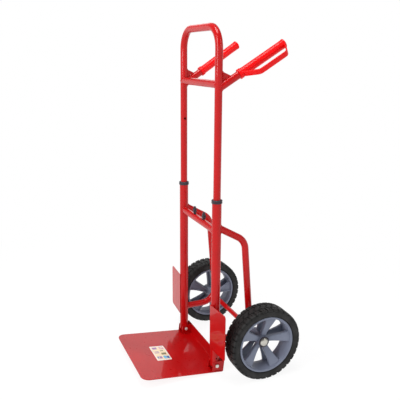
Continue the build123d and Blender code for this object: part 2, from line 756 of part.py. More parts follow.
def make_spider(side):
    """Hub with two sets of spokes, one behind the other, that end inside the rim."""
    hub = make_turned(side, box_profile(HUB_IN_X, HUB_OUT_X, BUSH_R, HUB_R))
    with BuildPart() as spider:
        add(hub)
        for spoke in (FRONT_SPOKE, REAR_SPOKE):
            for k in range(SPOKES):
                add(make_spoke(side, spoke, radians(SPOKE_ANGLE + 360 / SPOKES * k)))
        with BuildSketch(Plane.YZ.offset(side * HUB_IN_X)):
            with Locations((WHEEL_Y, WHEEL_Z)):
                ring(2 * RIM_SEAT_R, RIM_BORE_R - WELD_GAP)
        extrude(amount=side * (RIM_OUT_X - HUB_IN_X), mode=Mode.SUBTRACT)
        with BuildSketch(Plane.YZ.offset(side * HUB_IN_X)):
            with Locations((WHEEL_Y, WHEEL_Z)):
                Circle(BUSH_R)
        extrude(amount=side * (HUB_OUT_X - HUB_IN_X), mode=Mode.SUBTRACT)
    return spider.part


# ---- write every node ---------------------------------------------------------------------------
save(make_lower_crossbar(), "lower_crossbar")
save(make_axle(), "axle")
save(make_spring_stop(), "spring_stop")
save(make_handle_loop(), "handle_loop")
save(make_upper_crossbar(), "upper_crossbar")
save(make_toe_plate(), "toe_plate")
save(make_toe_label(), "toe_label")

WASHER_IN_X = HUB_IN_X - RUN_GAP - WASHER_THICKNESS
WASHER_OUT_X = HUB_OUT_X + RUN_GAP
SPACER = box_profile(SPACER_START_X, WASHER_IN_X, AXLE_R, SPACER_R)
INNER_WASHER = box_profile(WASHER_IN_X, HUB_IN_X - RUN_GAP, AXLE_R, INNER_WASHER_R)
OUTER_WASHER = box_profile(WASHER_OUT_X, WASHER_OUT_X + WASHER_THICKNESS, AXLE_R, OUTER_WASHER_R)
WHEEL_BUSH = box_profile(HUB_IN_X, HUB_OUT_X, AXLE_R + AXLE_FIT, BUSH_R)

for side_name, side_sign in SIDES.items():
    save(make_outer_tube(side_sign), f"outer_tube_{side_name}")
    save(make_collar(side_sign), f"collar_{side_name}")
    save(make_side_brace(side_sign), f"side_brace_{side_name}")
    save(make_wheel_guard(side_sign), f"wheel_guard_{side_name}")
    save(make_turned(side_sign, SPACER), f"axle_spacer_{side_name}")
    save(make_turned(side_sign, INNER_WASHER), f"inner_washer_{side_name}")
    save(make_turned(side_sign, OUTER_WASHER), f"outer_washer_{side_name}")
    save(make_axle_cap(side_sign), f"axle_cap_{side_name}")
    save(make_pivot_bolt(side_sign), f"pivot_bolt_{side_name}")
    save(make_pivot_nut(side_sign), f"pivot_nut_{side_name}")
    save(make_release_spring(side_sign), f"release_spring_{side_name}")
    save(make_release_knob(side_sign), f"release_knob_{side_name}")
    save(make_lock_pin(side_sign), f"lock_pin_{side_name}")
    save(make_guide_bush(side_sign), f"guide_bush_{side_name}")
    save(make_handle_tube(side_sign), f"handle_tube_{side_name}")
    save(make_gusset(side_sign), f"gusset_{side_name}")
    save(make_grip(side_sign), f"grip_{side_name}")
    save(make_hinge_bracket(side_sign), f"hinge_bracket_{side_name}")
    save(make_tyre(side_sign), f"tyre_{side_name}")
    save(make_rim(side_sign), f"rim_{side_name}")
    save(make_spider(side_sign), f"wheel_spider_{side_name}")
    save(make_turned(side_sign, WHEEL_BUSH), f"wheel_bush_{side_name}")
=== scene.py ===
"""Looks of the hand truck: materials, welds, tyres, rims, grips, fasteners, light and camera.

Metres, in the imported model's own frame: +Z is up, +X is the truck's right side, the toe plate reaches
towards -Y and the wheels stand at +Y.
"""
import json
from math import cos, pi, radians, sin, sqrt, tan

import bmesh
import bpy
from mathutils import Matrix, Vector


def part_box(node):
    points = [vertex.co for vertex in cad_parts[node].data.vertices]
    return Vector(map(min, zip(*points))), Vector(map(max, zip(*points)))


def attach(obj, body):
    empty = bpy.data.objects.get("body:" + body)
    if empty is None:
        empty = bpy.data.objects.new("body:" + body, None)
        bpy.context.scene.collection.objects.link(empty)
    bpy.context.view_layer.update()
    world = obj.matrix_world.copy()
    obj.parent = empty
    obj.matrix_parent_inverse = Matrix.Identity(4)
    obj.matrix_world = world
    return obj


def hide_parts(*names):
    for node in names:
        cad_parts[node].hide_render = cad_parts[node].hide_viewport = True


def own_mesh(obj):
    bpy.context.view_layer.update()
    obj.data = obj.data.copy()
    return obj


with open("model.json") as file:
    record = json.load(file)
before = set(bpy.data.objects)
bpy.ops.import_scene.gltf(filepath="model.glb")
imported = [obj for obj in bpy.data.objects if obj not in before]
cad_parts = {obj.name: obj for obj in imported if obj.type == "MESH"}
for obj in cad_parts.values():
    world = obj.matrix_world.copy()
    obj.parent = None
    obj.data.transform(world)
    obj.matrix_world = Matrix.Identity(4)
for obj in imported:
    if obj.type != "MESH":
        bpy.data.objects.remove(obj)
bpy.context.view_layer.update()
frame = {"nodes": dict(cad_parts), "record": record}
bpy.context.scene.view_settings.view_transform = "Standard"

MM = 0.001
SIDES = {"left": -1, "right": 1}
X, Y, Z = Vector((1, 0, 0)), Vector((0, 1, 0)), Vector((0, 0, 1))


# ---- places and sizes read from the frame -------------------------------------------------------
def middle(node):
    low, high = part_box(node)
    return (low + high) / 2


def span(node):
    low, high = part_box(node)
    return high - low


UPRIGHT_X = middle("outer_tube_right").x
OUTER_R = span("outer_tube_right").x / 2
INNER_R = span("upper_crossbar").z / 2
CROSSBAR_R = span("lower_crossbar").z / 2
LOWER_BAR_Z = middle("lower_crossbar").z
UPPER_BAR_Z = middle("upper_crossbar").z
WHEEL_Y, WHEEL_Z = middle("axle").y, middle("axle").z
AXLE_R = span("axle").z / 2
TYRE_R = span("tyre_right").z / 2
RIM_LIP_R = span("rim_right").z / 2
WHEEL_CENTRE = Vector((0, WHEEL_Y, WHEEL_Z))
PIVOT_Z = middle("pivot_bolt_right").z

# the side braces, which leave the uprights downwards at the top and level at the foot
BRACE_R = 0.012
BRACE_TOP_Z, BRACE_FOOT_Z = 0.540, 0.120
BRACE_RUN, BRACE_DROP = 0.108, 0.0614

# the handle tubes' axes
HANDLE_Z = 0.996
HANDLE_RISE = radians(32.5)
HANDLE_SPLAY = radians(5.0)
GRIP_START = 0.080
GRIP_END = 0.262
GUARD_DROP = radians(20.8)
GUARD_ROOT, GUARD_REACH = 0.0105, 0.0535  # the strap's line, out from the tube's axis
GUARD_BEND_R = 0.009
STRAP_WIDTH, STRAP_THICKNESS = 0.0196, 0.0042

# the toe plate's own axes: v runs back along the plate, w is its upward normal
TOE_TILT = radians(6.36)
TOE_V = Vector((0, cos(TOE_TILT), -sin(TOE_TILT)))
TOE_W = Vector((0, sin(TOE_TILT), cos(TOE_TILT)))
TOE_TOP = -0.023


def toe_point(x, v, w):
    return Vector((x, 0, PIVOT_Z)) + TOE_V * v + TOE_W * w


def handle_axes(side):
    """Along the handle tube, level across it, and towards the knuckle guard."""
    along = Vector((
        side * sin(HANDLE_SPLAY) * cos(HANDLE_RISE),
        cos(HANDLE_SPLAY) * cos(HANDLE_RISE),
        sin(HANDLE_RISE),
    ))
    across = Vector((cos(HANDLE_SPLAY), -side * sin(HANDLE_SPLAY), 0))
    outwards = across * (side * cos(GUARD_DROP)) + along.cross(across) * sin(GUARD_DROP)
    return along, across, outwards


# ---- materials ----------------------------------------------------------------------------------
def new_material(name, **sockets):
    """Principled material with constant sockets, its node tree and shader."""
    material = bpy.data.materials.new(name)
    material.use_nodes = True
    shader = material.node_tree.nodes["Principled BSDF"]
    for socket, value in sockets.items():
        shader.inputs[socket.replace("_", " ")].default_value = value
    return material, material.node_tree, shader


def noise(tree, scale, detail=3.0, stretch=(1, 1, 1)):
    """Noise factor in the piece's own coordinates."""
    coordinates = tree.nodes.new("ShaderNodeTexCoord")
    mapping = tree.nodes.new("ShaderNodeMapping")
    mapping.inputs["Scale"].default_value = stretch
    texture = tree.nodes.new("ShaderNodeTexNoise")
    texture.inputs["Scale"].default_value = scale
    texture.inputs["Detail"].default_value = detail
    tree.links.new(coordinates.outputs["Object"], mapping.inputs["Vector"])
    tree.links.new(mapping.outputs["Vector"], texture.inputs["Vector"])
    return texture.outputs["Fac"]


def ramp(tree, factor, stops):
    """Colour ramp with (position, colour) stops."""
    node = tree.nodes.new("ShaderNodeValToRGB")
    elements = node.color_ramp.elements
    for element, (place, colour) in zip(elements, (stops[0], stops[-1])):
        element.position = place
        element.color = (*colour, 1)
    for place, colour in stops[1:-1]:
        elements.new(place).color = (*colour, 1)
    tree.links.new(factor, node.inputs["Fac"])
    return node.outputs["Color"]


def map_range(tree, factor, low, high):
    node = tree.nodes.new("ShaderNodeMapRange")
    node.inputs["From Min"].default_value = 0.3
    node.inputs["From Max"].default_value = 0.7
    node.inputs["To Min"].default_value = low
    node.inputs["To Max"].default_value = high
    tree.links.new(factor, node.inputs["Value"])
    return node.outputs["Result"]


def bump(tree, shader, height, distance, strength=1.0):
    node = tree.nodes.new("ShaderNodeBump")
    node.inputs["Distance"].default_value = distance
    node.inputs["Strength"].default_value = strength
    tree.links.new(height, node.inputs["Height"])
    tree.links.new(node.outputs["Normal"], shader.inputs["Normal"])


def shades(colour, spread):
    """Three stops round a colour, darker to lighter."""
    return [
        (0.30, [c * (1 - spread) for c in colour]),
        (0.50, colour),
        (0.72, [min(1, c * (1 + spread) + 0.02 * spread) for c in colour]),
    ]


def make_paint():
    """Gloss powder coat: orange peel, faint tone changes and fine rub marks in the gloss."""
    material, tree, shader = new_material(
        "red_paint", Coat_Weight=0.42, Coat_Roughness=0.04, Specular_IOR_Level=0.10
    )
    tone = ramp(tree, noise(tree, 7.0, 4.0), shades((0.46, 0.0020, 0.0028), 0.10))
    tree.links.new(tone, shader.inputs["Base Color"])
    rubs = noise(tree, 60.0, 6.0, (1, 1, 0.12))
    tree.links.new(map_range(tree, rubs, 0.26, 0.40), shader.inputs["Roughness"])
    bump(tree, shader, noise(tree, 90.0, 1.0), 0.00005, 0.10)
    return material


def make_grip_plastic():
    """Bright moulded plastic with a fine grain."""
    material, tree, shader = new_material(
        "grip_plastic", Specular_IOR_Level=0.15, Coat_Weight=0.15, Coat_Roughness=0.20
    )
    tone = ramp(tree, noise(tree, 16.0, 3.0), shades((0.78, 0.0008, 0.0024), 0.06))
    tree.links.new(tone, shader.inputs["Base Color"])
    tree.links.new(map_range(tree, noise(tree, 90.0, 4.0), 0.34, 0.46), shader.inputs["Roughness"])
    bump(tree, shader, noise(tree, 300.0, 1.0), 0.00004, 0.15)
    return material


def make_moulded(name, colour, spread, rough, grain):
    """Moulded plastic or rubber: mottled tone, uneven sheen and a fine grain."""
    material, tree, shader = new_material(name, Specular_IOR_Level=0.30)
    tone = ramp(tree, noise(tree, 22.0, 5.0), shades(colour, spread))
    tree.links.new(tone, shader.inputs["Base Color"])
    tree.links.new(map_range(tree, noise(tree, 70.0, 5.0), *rough), shader.inputs["Roughness"])
    bump(tree, shader, noise(tree, grain, 3.0), 0.00015, 0.5)
    return material


def make_metal(name, colour, rough, stretch):
    """Plated steel with brushed or rolled marks along one way."""
    material, tree, shader = new_material(name, Metallic=1.0)
    tone = ramp(tree, noise(tree, 35.0, 4.0), shades(colour, 0.16))
    tree.links.new(tone, shader.inputs["Base Color"])
    marks = noise(tree, 160.0, 5.0, stretch)
    tree.links.new(map_range(tree, marks, *rough), shader.inputs["Roughness"])
    bump(tree, shader, marks, 0.00005, 0.4)
    return material


def make_film(name, colour):
    """Printed film: a faint print texture under a satin sheet."""
    material, tree, shader = new_material(name, Coat_Weight=0.3, Coat_Roughness=0.15)
    tone = ramp(tree, noise(tree, 380.0, 2.0), shades(colour, 0.08))
    tree.links.new(tone, shader.inputs["Base Color"])
    tree.links.new(map_range(tree, noise(tree, 40.0, 2.0), 0.30, 0.42), shader.inputs["Roughness"])
    return material


MATERIALS = {
    "red_paint": make_paint(),
    "grip_plastic": make_grip_plastic(),
    "black_plastic": make_moulded("black_plastic", (0.038, 0.031, 0.040), 0.25, (0.42, 0.58), 900.0),
    "bush_plastic": make_moulded("bush_plastic", (0.62, 0.62, 0.58), 0.06, (0.40, 0.52), 700.0),
    "tyre_rubber": make_moulded("tyre_rubber", (0.0105, 0.0100, 0.0100), 0.45, (0.46, 0.70), 650.0),
    "rim_plastic": make_moulded("rim_plastic", (0.185, 0.205, 0.275), 0.10, (0.36, 0.50), 800.0),
    "zinc_steel": make_metal("zinc_steel", (0.66, 0.65, 0.60), (0.26, 0.42), (1, 1, 1)),
    "cap_steel": make_metal("cap_steel", (0.56, 0.54, 0.49), (0.20, 0.32), (0.2, 1, 1)),
    "label_film": make_film("label_film", (0.92, 0.88, 0.84)),
}
PRINT = {
    "cream": make_film("print_cream", (0.92, 0.76, 0.50)),
    "lilac": make_film("print_lilac", (0.36, 0.17, 0.42)),
    "pink": make_film("print_pink", (0.66, 0.22, 0.50)),
    "olive": make_film("print_olive", (0.20, 0.16, 0.05)),
    "sky": make_film("print_sky", (0.12, 0.50, 0.78)),
    "blue": make_film("print_blue", (0.03, 0.14, 0.42)),
}
NYLON = make_moulded("nut_nylon", (0.70, 0.71, 0.70), 0.05, (0.38, 0.50), 700.0)


# ---- mesh building ------------------------------------------------------------------------------
def piece(name, body, slot, geometry, material=None, crease=30):
    """New mesh piece that rides on a body, smooth but for edges sharper than the crease angle."""
    verts, faces = geometry
    mesh = bpy.data.meshes.new(name)
    mesh.from_pydata([tuple(v) for v in verts], [], faces)
    work = bmesh.new()
    work.from_mesh(mesh)
    bmesh.ops.remove_doubles(work, verts=work.verts, dist=1e-6)
    bmesh.ops.dissolve_degenerate(work, edges=work.edges, dist=1e-7)
    bmesh.ops.recalc_face_normals(work, faces=work.faces)
    work.to_mesh(mesh)
    work.free()
    mesh.polygons.foreach_set("use_smooth", [True] * len(mesh.polygons))
    mesh.set_sharp_from_angle(angle=radians(crease))
    mesh.materials.append(material or MATERIALS[slot])
    obj = bpy.data.objects.new(name, mesh)
    bpy.context.scene.collection.objects.link(obj)
    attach(obj, body)
    return obj


def joined(*parts):
    """One geometry from several."""
    verts, faces = [], []
    for part_verts, part_faces in parts:
        start = len(verts)
        verts.extend(part_verts)
        faces.extend(tuple(start + i for i in face) for face in part_faces)
    return verts, faces


def loft(rings, closed=False):
    """Skin over equal rings of points, capped at both ends unless it closes on itself."""
    count, sides = len(rings), len(rings[0])
    verts = [p for r in rings for p in r]
    faces = []
    for i in range(count if closed else count - 1):
        near, far = i * sides, (i + 1) % count * sides
        for j in range(sides):
            k = (j + 1) % sides
            faces.append((near + j, near + k, far + k, far + j))
    if not closed:
        faces.append(tuple(range(sides)))
        faces.append(tuple(range((count - 1) * sides, count * sides)))
    return verts, faces


def square_to(axis):
    """Two directions square to an axis and to each other."""
    first = axis.cross(Z if abs(axis.z) < 0.9 else X).normalized()
    return first, axis.cross(first).normalized()


def turned(profile, centre, axis, steps=96):
    """Solid of revolution from a closed outline of (place along the axis, radius)."""
    u, v = square_to(axis)
    rings = []
    for i in range(steps):
        t = 2 * pi * i / steps
        radial = u * cos(t) + v * sin(t)
        rings.append([centre + axis * a + radial * r for a, r in profile])
    return loft(rings, closed=True)


def in_mm(points):
    return [tuple(c * MM for c in p) for p in points]


def rounded(width, height, radius, corner_steps=4):
    """Outline of a rounded rectangle, centred."""
    points = []
    for i in range(4):
        cx = (width / 2 - radius) * (1 if i in (0, 3) else -1)
        cy = (height / 2 - radius) * (1 if i in (0, 1) else -1)
        for k in range(corner_steps + 1):
            t = pi / 2 * (i + k / corner_steps)
            points.append((cx + radius * cos(t), cy + radius * sin(t)))
    return points


# ---- weld beads ---------------------------------------------------------------------------------
BEAD_R = 0.0021
WELD_STANDOFF = 0.0009  # keeps a bead's root inside the tube wall, out of the bore behind it
RIPPLE = 0.0030  # length of one ripple along a bead
BEAD_SIDES = 8


def saddle(origin, direction, tube_r, upright_r, steps=56):
    """Where a round tube meets a vertical one."""
    u, v = square_to(direction)
    a = direction.x ** 2 + direction.y ** 2
    points = []
    for i in range(steps):
        t = 2 * pi * i / steps
        q = (u * cos(t) + v * sin(t)) * tube_r
        b = q.x * direction.x + q.y * direction.y
        c = q.x ** 2 + q.y ** 2 - upright_r ** 2
        reach = (-b + sqrt(max(0.0, b * b - a * c))) / a
        points.append(origin + q + direction * reach)
    return points


def straight(start, end):
    steps = max(4, round((end - start).length / (RIPPLE / 4)))
    return [start.lerp(end, i / steps) for i in range(steps + 1)]


def resampled(points, closed):
    """The same line with four points to a ripple."""
    line = points + [points[0]] if closed else points
    lengths = [0.0]
    for p, q in zip(line, line[1:]):
        lengths.append(lengths[-1] + (q - p).length)
    steps = max(8, round(lengths[-1] / (RIPPLE / 4)))
    result, at = [], 0
    for i in range(steps if closed else steps + 1):
        want = lengths[-1] * i / steps
        while at < len(lengths) - 2 and lengths[at + 1] < want:
            at += 1
        share = (want - lengths[at]) / max(1e-9, lengths[at + 1] - lengths[at])
        result.append(line[at].lerp(line[at + 1], min(1.0, share)))
    return result


def bead(points, away_from, closed, radius=BEAD_R):
    """Rippled weld bead along a line; its section turns with the direction from a point."""
    line = resampled(points, closed)
    count = len(line)
    rings = []
    for i, p in enumerate(line):
        before = line[i - 1] if closed or i else line[0]
        after = line[(i + 1) % count] if closed or i < count - 1 else line[-1]
        tangent = (after - before).normalized()
        side = (p - away_from).cross(tangent).normalized()
        up = tangent.cross(side)
        ripple = 0.86 + 0.14 * abs(sin(pi * i / 4)) + 0.05 * sin(1.7 * i)
        if not closed:
            ripple *= min(1.0, 0.35 + 0.65 * min(i, count - 1 - i) / 3)
        r = radius * ripple
        turns = [2 * pi * k / BEAD_SIDES for k in range(BEAD_SIDES)]
        rings.append([p + (up * cos(t) + side * sin(t)) * r for t in turns])
    return loft(rings, closed)


def add_welds():
    for side_name, side in SIDES.items():
        along = handle_axes(side)[0]
        upright = Vector((side * UPRIGHT_X, 0, 0))
        brace = Vector((0, BRACE_RUN, -BRACE_DROP)).normalized()
        round_welds = [
            ("lower_bar", "frame", LOWER_BAR_Z, -side * X, CROSSBAR_R, OUTER_R + WELD_STANDOFF),
            ("upper_bar", "handle", UPPER_BAR_Z, -side * X, CROSSBAR_R, INNER_R),
            ("handle_tube", "handle", HANDLE_Z, along, INNER_R, INNER_R),
            ("brace_top", "frame", BRACE_TOP_Z, brace, BRACE_R, OUTER_R + WELD_STANDOFF),
            ("brace_foot", "frame", BRACE_FOOT_Z, Y, BRACE_R, OUTER_R + WELD_STANDOFF),
        ]
        for name, body, z, direction, tube_r, upright_r in round_welds:
            origin = upright + Z * z
            line = saddle(origin, direction, tube_r, upright_r)
            shape = bead(line, origin + direction * upright_r, True)
            piece(f"weld_{name}_{side_name}", body, "red_paint", shape, crease=60)

        axle = []
        for offset in (-0.0118, 0.0118):
            centre = Vector((side * (UPRIGHT_X + offset), WHEEL_Y, WHEEL_Z))
            turns = [2 * pi * k / 40 for k in range(40)]
            line = [centre + (Y * cos(t) + Z * sin(t)) * (AXLE_R + 0.0008) for t in turns]
            axle.append(bead(line, centre, True))
        piece(f"weld_axle_{side_name}", "frame", "red_paint", joined(*axle), crease=60)

        stitches = []
        for z in (0.105, 0.160, 0.222):
            start = upright + Vector((side * 0.0086, -0.0148, z))
            stitches.append(bead(straight(start, start + Z * 0.026), start + Y * 0.1, False, 0.0019))
        piece(f"weld_guard_{side_name}", "frame", "red_paint", joined(*stitches), crease=60)

        level = Vector((along.x, along.y, 0)).normalized()
        beside = level.cross(Z)
        corner = []
        for face in (-0.0030, 0.0030):
            foot = upright + Z * (HANDLE_Z + 0.0235) + level * (INNER_R + 0.0006) + beside * face
            corner.append(bead(straight(foot, foot + Z * 0.031), foot - level, False, 0.0018))
            rise = level * cos(HANDLE_RISE) + Z * sin(HANDLE_RISE)
            over = Z * cos(HANDLE_RISE) - level * sin(HANDLE_RISE)
            first = upright + Z * HANDLE_Z + rise * 0.0235 + over * (INNER_R + 0.0002) + beside * face
            corner.append(bead(straight(first, first + rise * 0.028), first - over, False, 0.0018))
        piece(f"weld_gusset_{side_name}", "handle", "red_paint", joined(*corner), crease=60)

        ears = []
        for offset in (-1, 1):
            x = side * UPRIGHT_X + offset * (OUTER_R + 0.0004 + 0.0025 + 0.0012)
            start, end = toe_point(x, -0.013, TOE_TOP + 0.0008), toe_point(x, 0.019, TOE_TOP + 0.0008)
            ears.append(bead(straight(start, end), start - Z, False, 0.0018))
        piece(f"weld_bracket_{side_name}", "toe", "red_paint", joined(*ears), crease=60)


# ---- wheels -------------------------------------------------------------------------------------
LUGS = 36  # tread blocks round each row
GROOVE = 0.0036  # depth of the grooves between them
TREAD_SKEW = 0.22  # how far the middle blocks run ahead, in pitches
SHOULDER_SHARE = 0.86  # where the shoulder starts, as a share of the half width


def tyre_section(side):
    """The tyre's outline as (x, radius, row), from the inner bead over the tread to the outer one."""
    low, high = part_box("tyre_" + side)
    half = (high.x - low.x) / 2
    wall = [
        (half - 0.0066, RIM_LIP_R - 0.0040, "wall"),
        (half - 0.0066, RIM_LIP_R + 0.0004, "wall"),
        (half - 0.0050, RIM_LIP_R + 0.0016, "wall"),
        (half - 0.0020, RIM_LIP_R + 0.0034, "wall"),
        (half - 0.0006, RIM_LIP_R + 0.0066, "wall"),
        (half, RIM_LIP_R + 0.0110, "wall"),
        (half, TYRE_R - 0.0100, "wall"),
        (half - 0.0008, TYRE_R - 0.0088, "wall"),
        (half - 0.0001, TYRE_R - 0.0078, "wall"),
        (half - 0.0003, TYRE_R - 0.0066, "shoulder"),
        (half - 0.0018, TYRE_R - 0.0026, "shoulder"),
        (half - 0.0046, TYRE_R - 0.0008, "shoulder"),
        (half - 0.0085, TYRE_R - 0.0003, "shoulder"),
        (half - 0.0090, TYRE_R - 0.0003, "notch"),
        (half - 0.0165, TYRE_R - 0.0001, "notch"),
        (half - 0.0170, TYRE_R - 0.0001, "shoulder"),
        (half - 0.0200, TYRE_R, "shoulder"),
        (half - 0.0204, TYRE_R, "channel"),
        (half - 0.0226, TYRE_R, "channel"),
        (half - 0.0230, TYRE_R, "middle"),
        (half - 0.0300, TYRE_R, "middle"),
    ]
    mirrored = [(-x, r, row) for x, r, row in wall]
    return half, mirrored + wall[::-1]


def tread_depth(row, share, outer):
    """Depth of the tread at a row, for a place within one pitch."""
    if row == "wall":
        return 0.0
    if row == "channel":
        return GROOVE * 0.85
    if row in ("shoulder", "notch"):
        at = share if outer else (share + 0.5) % 1.0
        if 0.02 < at < 0.24:
            return GROOVE
        return GROOVE * 0.6 if row == "notch" and 0.52 < at < 0.61 else 0.0
    return GROOVE * 0.8 if 0.52 < share < 0.74 else 0.0


def tyre_geometry(side_name, side):
    """Carcass and blocky tread on one skewed grid, so that every block keeps clean edges."""
    half, section = tyre_section(side_name)
    centre_x = middle("tyre_" + side_name).x
    # places within a pitch, in pairs that give each groove steep sides
    shares = (0.0, 0.025, 0.235, 0.26, 0.50, 0.525, 0.60, 0.625, 0.735, 0.76)
    bottom = RIM_LIP_R - 0.0040
    rings = []
    for lug in range(LUGS):
        for share in shares:
            ring = []
            for x, r, row in section:
                away = 1 if x > 0 else -1
                skew = TREAD_SKEW * max(0.0, 1 - abs(x) / half) * away
                turn = 2 * pi * (lug + share + skew) / LUGS
                depth = tread_depth(row, share, x > 0)
                slope = min(1.0, max(0.0, (abs(x) / half - SHOULDER_SHARE) / (1 - SHOULDER_SHARE)))
                x_in = x - away * depth * 0.55 * slope
                radius = max(bottom, r - depth * (1 - 0.45 * slope))
                ring.append(Vector((
                    centre_x + side * x_in,
                    WHEEL_Y + radius * cos(turn),
                    WHEEL_Z + radius * sin(turn),
                )))
            rings.append(ring)
    return loft(rings, closed=True)


def rim_geometry(side_name, side):
    """Barrel with rounded lips, a step inside its mouth and a rib half way in."""
    low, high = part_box("rim_" + side_name)
    inner_x, outer_x = sorted((abs(low.x), abs(high.x)))
    lip, bore = RIM_LIP_R, RIM_LIP_R - 0.0095
    profile = [
        (inner_x, bore + 0.0030),
        (inner_x, lip - 0.0010),
        (inner_x + 0.0010, lip),
        (inner_x + 0.0034, lip),
        (inner_x + 0.0042, lip - 0.0012),
        (inner_x + 0.0052, lip - 0.0055),
        (outer_x - 0.0052, lip - 0.0055),
        (outer_x - 0.0042, lip - 0.0012),
        (outer_x - 0.0034, lip),
        (outer_x - 0.0010, lip),
        (outer_x, lip - 0.0010),
        (outer_x, lip - 0.0058),
        (outer_x - 0.0008, lip - 0.0066),
        (outer_x - 0.0030, lip - 0.0070),
        (outer_x - 0.0036, lip - 0.0082),
        (outer_x - 0.0200, bore - 0.0006),
        (inner_x + 0.0240, bore - 0.0016),
        (inner_x + 0.0210, bore - 0.0016),
        (inner_x + 0.0190, bore),
        (inner_x + 0.0040, bore + 0.0016),
    ]
    return turned(profile, WHEEL_CENTRE, side * X, 144)


SPOKES = 5
SPOKE_TURN = radians(79.0)  # from +Y towards +Z
HUB_R = 0.0230
SPOKE_SINK = 0.0040  # how far a spoke's root lies inside the hub
SPOKE_WALL, SPOKE_EDGE = 0.0034, 0.0022
# a spoke set: front face's x at the hub and at the rim, widths there, depth
FRONT_SPOKES = (0.2380, 0.2630, 0.018, 0.043, 0.0140)
REAR_SPOKES = (0.2050, 0.2165, 0.014, 0.049, 0.0100)


def spoke_geometry(side, spec, k):
    """One moulded spoke: a channel, open at the back, that widens and leans out to the rim."""
    hub_x, rim_x, hub_width, rim_width, depth = spec
    angle = SPOKE_TURN + 2 * pi / SPOKES * k
    radial = Y * cos(angle) + Z * sin(angle)
    across = -Y * sin(angle) + Z * cos(angle)
    root, tip = HUB_R - SPOKE_SINK, RIM_LIP_R - 0.0086
    rings = []
    for share in (0.0, 0.12, 0.3, 0.5, 0.7, 0.85, 0.95, 1.0):
        r = root + (tip - root) * share
        ease = share * share * (3 - 2 * share)
        front = hub_x + (rim_x - hub_x) * (0.35 * share + 0.65 * ease)
        half = (hub_width + (rim_width - hub_width) * (0.55 * share + 0.45 * share ** 3)) / 2
        outline = [
            (half, front - SPOKE_EDGE),
            (half - SPOKE_EDGE, front),
            (0.0, front + 0.0006),
            (SPOKE_EDGE - half, front),
            (-half, front - SPOKE_EDGE),
            (0.0008 - half, front - depth),
            (SPOKE_WALL - half, front - depth),
            (SPOKE_WALL + 0.0012 - half, front - 0.0042),
            (half - SPOKE_WALL - 0.0012, front - 0.0042),
            (half - SPOKE_WALL, front - depth),
            (half - 0.0008, front - depth),
        ]
        rings.append([WHEEL_CENTRE + radial * r + across * a + side * X * b for a, b in outline])
    return loft(rings)


def hub_geometry(side_name, side):
    """Hub barrel with a tapered nose and a countersunk mouth."""
    low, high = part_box("wheel_bush_" + side_name)
    inner_x, outer_x = sorted((abs(low.x), abs(high.x)))
    bore = span("wheel_bush_" + side_name).z / 2
    profile = [
        (inner_x, bore),
        (inner_x, HUB_R - 0.0015),
        (inner_x + 0.0015, HUB_R),
        (outer_x - 0.0110, HUB_R),
        (outer_x - 0.0080, HUB_R - 0.0016),
        (outer_x - 0.0008, HUB_R - 0.0028),
        (outer_x, HUB_R - 0.0036),
        (outer_x, bore + 0.0040),
        (outer_x - 0.0006, bore + 0.0030),
        (outer_x - 0.0006, bore),
    ]
    return turned(profile, WHEEL_CENTRE, side * X)


def axle_cap_geometry(side_name, side):
    """Pressed dome with a rolled edge and a small dimple."""
    low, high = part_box("axle_cap_" + side_name)
    foot, top = sorted((abs(low.x), abs(high.x)))
    r = (high.z - low.z) / 2
    steps = 10
    dome = []
    for i in range(1, steps):
        t = pi / 2 * i / steps
        dome.append((foot + 0.0016 + (top - foot - 0.0016) * sin(t), (r - 0.0010) * cos(t)))
    profile = [(foot, AXLE_R), (foot, r - 0.0005), (foot + 0.0006, r), (foot + 0.0014, r)]
    profile += dome
    profile += [(top - 0.0001, 0.0018), (top - 0.0007, 0.0004), (top - 0.0007, 0.0)]
    profile += [(foot + 0.001, 0.0), (foot + 0.001, AXLE_R)]
    return turned(profile, WHEEL_CENTRE, side * X, 64)


def add_wheels():
    for side_name, side in SIDES.items():
        body = "wheel_" + side_name
        tyre = piece(f"tyre_tread_{side_name}", body, "tyre_rubber", tyre_geometry(side_name, side))
        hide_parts(f"tyre_{side_name}")
        rim = piece(f"rim_barrel_{side_name}", body, "rim_plastic", rim_geometry(side_name, side))
        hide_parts(f"rim_{side_name}")
        spokes = []
        for spec in (FRONT_SPOKES, REAR_SPOKES):
            spokes += [spoke_geometry(side, spec, k) for k in range(SPOKES)]
        wheel = joined(hub_geometry(side_name, side), *spokes)
        spider = piece(f"wheel_spokes_{side_name}", body, "rim_plastic", wheel, crease=26)
        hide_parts(f"wheel_spider_{side_name}")

        # Painted shade: this raised ring of black plastic round the axle cap stands for the shade in the
        # hub's mouth.
        hub_face = max(abs(c.x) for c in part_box("wheel_bush_" + side_name))
        shade_ring_outline = in_mm([(0.0, 15.2), (0.0, 19.4), (0.7, 20.0), (1.6, 20.0), (2.2, 19.2), (2.4, 15.8)])
        shade_ring_outline = [(hub_face + a, r) for a, r in shade_ring_outline]
        ring = turned(shade_ring_outline, WHEEL_CENTRE, side * X, 64)
        piece(f"hub_shade_ring_{side_name}", body, "black_plastic", ring)
        cap = piece(f"axle_dome_{side_name}", "frame", "cap_steel", axle_cap_geometry(side_name, side))
        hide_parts(f"axle_cap_{side_name}")


# ---- collars, knobs and grips -------------------------------------------------------------------
COLLAR_HEIGHT = 0.012


